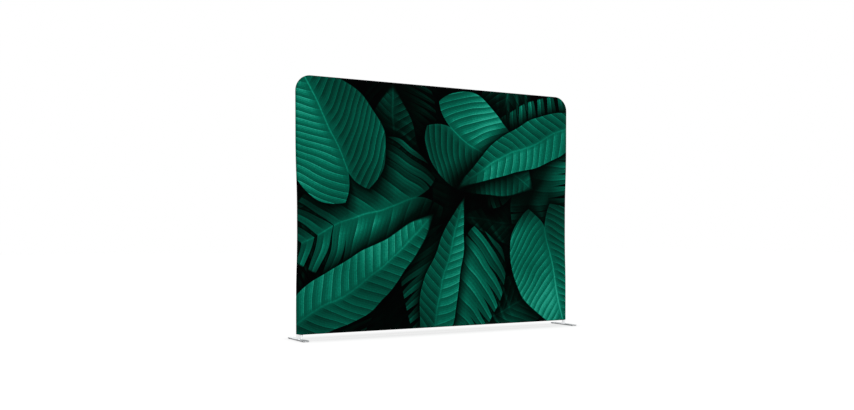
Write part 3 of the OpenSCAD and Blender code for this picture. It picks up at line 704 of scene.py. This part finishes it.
def drawnMetal(name, colour, streakScale, roughness):
    paint = Paint(name)
    place = paint.place()
    stretched = place * streakScale
    lines = paint.noise(stretched, 1.0, 3.0, 0.6)
    cloudy = paint.noise(place, 14, 3.0)
    tinted = paint.mix(lines.times(0.5, 0.1), colour, shaded(colour, 0.78))
    tinted = paint.mix(cloudy.times(0.5, -0.1), tinted, shaded(colour, 0.88))
    rough = lines.times(0.10, roughness) + cloudy * 0.06
    return paint.finish(baseColor=tinted, metallic=1.0, roughness=rough,
                        normal=paint.bump(lines, 0.12, 0.0002))


def footMaterial():
    # rolled steel under a silver coat: fine grain, a bright line along the top edges that is partly worn
    # bare steel and partly a painted highlight in place of a bevel, long sides painted a dull, darker grey
    # as painted shade, ends a lighter grey as painted light
    facts = {"halfWidth": 0.025, "halfLength": 0.150, "edgeWearAndHighlight": 0.0012, "sideDepth": 0.0003}
    paint = Paint("coatedSteelFoot")
    place = paint.place()
    x, y, _ = place.split()
    grain = paint.noise(place, 420, 2.0)
    rolled = paint.noise(place * (14.0, 90.0, 14.0), 1.0, 3.0)
    scuff = paint.noise(place * (30.0, 160.0, 30.0), 1.0, 4.0, 0.65)
    sideways = abs(abs(x) - divider["uprightX"])
    nearEdge = (facts["halfWidth"] - sideways).atMost(facts["halfLength"] - abs(y))
    # a bright band along the top edges: partly worn bare steel, partly a painted highlight in place of a
    # bevel
    edgeWearAndHighlight = (1 - nearEdge / facts["edgeWearAndHighlight"]).atLeast(0) * (grain * 1.3).atMost(1)
    side = (facts["halfWidth"] - sideways).ramp(facts["sideDepth"], 0.0)
    end = (facts["halfLength"] - abs(y)).ramp(facts["sideDepth"], 0.0)
    colour = paint.mix(rolled.times(0.6, 0.0), display(190, 192, 194), display(164, 167, 170))
    colour = paint.mix((grain * 0.35).atMost(1), colour, display(150, 153, 156))
    colour = paint.mix(edgeWearAndHighlight * 0.8, colour, display(226, 227, 229))
    # the long sides painted a dull, darker grey: painted shade
    colour = paint.mix(side, colour, display(128, 131, 134))
    # the ends painted a lighter grey than the sides: painted light
    colour = paint.mix(end, colour, display(188, 190, 192))
    cut = side.atLeast(end)
    rough = scuff.times(0.16, 0.34) - edgeWearAndHighlight * 0.12 + cut * 0.20
    return paint.finish(baseColor=colour, metallic=cut.times(-0.75, 0.85), roughness=rough, specular=0.5,
                        normal=paint.bump(grain * 0.4 + rolled * 0.6, 0.14, 0.0002))


def rubberMaterial():
    paint = Paint("padRubber")
    place = paint.place()
    pores = paint.noise(place, 900, 3.0)
    chalk = paint.noise(place, 35, 3.0)
    colour = paint.mix(chalk.times(0.9, -0.2), display(66, 67, 68), display(104, 104, 104))
    return paint.finish(baseColor=colour, roughness=pores.times(0.15, 0.78), specular=0.3,
                        normal=paint.bump(pores, 0.35, 0.0002))


aluminium = (0.90, 0.905, 0.915, 1)
finishes = {
    "uprightAluminium": (aluminium, (900.0, 900.0, 6.0), 0.15),
    "railAluminium": (aluminium, (6.0, 900.0, 900.0), 0.15),
    "bendAluminium": (aluminium, (120.0, 500.0, 120.0), 0.17),
    "turnedSteel": ((0.56, 0.57, 0.59, 1), (300.0, 300.0, 300.0), 0.30),
    "springSteel": ((0.38, 0.40, 0.43, 1), (40.0, 600.0, 600.0), 0.28),
    "brightNickel": ((0.80, 0.79, 0.76, 1), (260.0, 260.0, 260.0), 0.14),
    "rivetAluminium": ((0.66, 0.67, 0.68, 1), (400.0, 400.0, 400.0), 0.36),
    "screwZinc": ((0.58, 0.60, 0.63, 1), (500.0, 500.0, 90.0), 0.30),
    "zipGunmetal": ((0.13, 0.13, 0.14, 1), (500.0, 500.0, 500.0), 0.26),
}
metals = {name: drawnMetal(name, *facts) for name, facts in finishes.items()}
metals["foot"] = footMaterial()
metals["rubber"] = rubberMaterial()


# Springs of the snap buttons, inside the tube joints. A strip is carried along a line of straight runs
# and round arcs, worked out in the button's own frame: along the tube, and the way the button faces.

springFacts = {"width": 0.006, "thickness": 0.0006, "foldX": -0.0393, "tip": 0.005, "top": 0.0099135,
               "floor": 0.0118316, "arcR": 0.0007, "arcSteps": 12, "travel": 0.004}

# each button of the left half, and the two in the middle: its place, one pitch along the tube from
# where the tubes part, the way along the tube, and the way that the button faces
pitch = divider["buttonPitch"]
springPlaces = {
    "upright": ("upright_button", (divider["bow"] - divider["uprightX"], 0, divider["jointZ"] + pitch),
                (0, 0, 1), (1, 0, 0)),
    "cornerLower": ("corner_lower_button", (-divider["uprightX"], 0, divider["cornerEndZ"] - pitch),
                    (0, 0, -1), (1, 0, 0)),
    "cornerUpper": ("corner_upper_button", (pitch - divider["cornerEndX"], 0, divider["topZ"]),
                    (1, 0, 0), (0, 0, -1)),
    "rail": ("rail_button",
             (divider["tubeR"] + divider["stubPitch"] - divider["uprightX"], 0, divider["railZ"]),
             (1, 0, 0), (0, 0, 1)),
    "topCentre": ("top_centre_button", (pitch, 0, divider["topZ"]), (1, 0, 0), (0, 0, -1)),
    "bottomCentre": ("bottom_centre_button", (pitch, 0, divider["railZ"]), (1, 0, 0), (0, 0, 1)),
}


def springLine():
    # corners of the folded strip's middle line; an arc of radius R replaces each inner corner, its
    # centre R / sin(half the corner's angle) along the bisector
    facts = springFacts
    half = facts["thickness"] / 2
    high, low = facts["top"] - half, half - facts["floor"]
    tip = facts["tip"]
    corners = np.array([(tip, high), (-tip, high), (facts["foldX"], low), (tip, low)])
    runs = [corners[:1]]
    for before, corner, after in zip(corners[:-2], corners[1:-1], corners[2:]):
        back = (before - corner) / np.linalg.norm(before - corner)
        ahead = (after - corner) / np.linalg.norm(after - corner)
        middle = (back + ahead) / np.linalg.norm(back + ahead)
        halfAngle = math.acos(back @ ahead) / 2
        centre = corner + middle * facts["arcR"] / math.sin(halfAngle)
        first = corner + back * facts["arcR"] / math.tan(halfAngle) - centre
        last = corner + ahead * facts["arcR"] / math.tan(halfAngle) - centre
        start, end = math.atan2(first[1], first[0]), math.atan2(last[1], last[0])
        turn = (end - start + math.pi) % (2 * math.pi) - math.pi
        angle = start + turn * steps(0, 1, facts["arcSteps"])
        runs.append(centre + facts["arcR"] * np.stack([np.cos(angle), np.sin(angle)], -1))
    return np.vstack(runs + [corners[3:]])


def springMesh(name, place, along, facing):
    # four edges follow the line, half the width to each side and half the thickness to each face;
    # four walls join them and two caps close the ends
    facts = springFacts
    line = springLine()
    way = np.gradient(line, axis=0)
    way /= np.linalg.norm(way, axis=1, keepdims=True)
    normal = np.stack([-way[:, 1], way[:, 0]], -1) * facts["thickness"] / 2
    rings = []
    for sideways, out in ((-1, 1), (1, 1), (1, -1), (-1, -1)):
        flat = line + out * normal
        ring = place + flat[:, :1] * along + flat[:, 1:] * facing
        rings.append(ring + np.array([0, sideways * facts["width"] / 2, 0]))
    points = np.stack(rings, 1)
    count = len(line)
    k = np.arange(count - 1)[:, None] * 4
    corner, following = np.arange(4)[None], (np.arange(4)[None] + 1) % 4
    walls = np.stack([k + corner, k + following, k + following + 4, k + corner + 4], -1).reshape(-1, 4)
    last = 4 * (count - 1)
    faces = np.vstack([walls, [(3, 2, 1, 0)], [(last, last + 1, last + 2, last + 3)]])
    points = points.reshape(-1, 3)
    a, b, c, d = (points[faces[:, corner]] for corner in range(4))
    volume = (np.cross(b - a, c - a) * a).sum() + (np.cross(c - a, d - a) * a).sum()
    outwards = faces if volume > 0 else faces[:, ::-1]
    return meshFrom(name, points, outwards, metals["springSteel"], smooth=False)


for name, (button, place, along, facing) in springPlaces.items():
    middle = "centre" in button
    for side, mirror in (("", 1),) if middle else (("_left", 1), ("_right", -1)):
        flipped = np.array([mirror, 1, 1])
        place, along, facing = (flipped * np.array(v, float) for v in (place, along, facing))
        title = "spring" + name[0].upper() + name[1:] + side[1:].capitalize()
        spring = springMesh(title, place, along, facing)
        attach(spring, "frame")
        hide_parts("button_springs")
        button + side + "_press"
        tuple(place - facing * springFacts["floor"])
        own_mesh(spring)
print("springs made")


def finishOf(node):
    # the finish that each remaining CAD part gets, by its name
    for word, name in (("foot_plate", "foot"), ("foot_pads", "rubber"), ("foot_screw", "screwZinc"),
                       ("zip_", "zipGunmetal"), ("_button", "brightNickel"),
                       ("rivets", "rivetAluminium"), ("ferrule", "turnedSteel"), ("spigot", "turnedSteel"),
                       ("corner_tube", "bendAluminium"), ("_rail", "railAluminium"),
                       ("upright_", "uprightAluminium")):
        if word in node:
            return metals[name]
    return metals["turnedSteel"]


for node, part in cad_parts.items():
    if not part.hide_render:
        part.data.materials.clear()
        part.data.materials.append(finishOf(node))
print("finishes given")
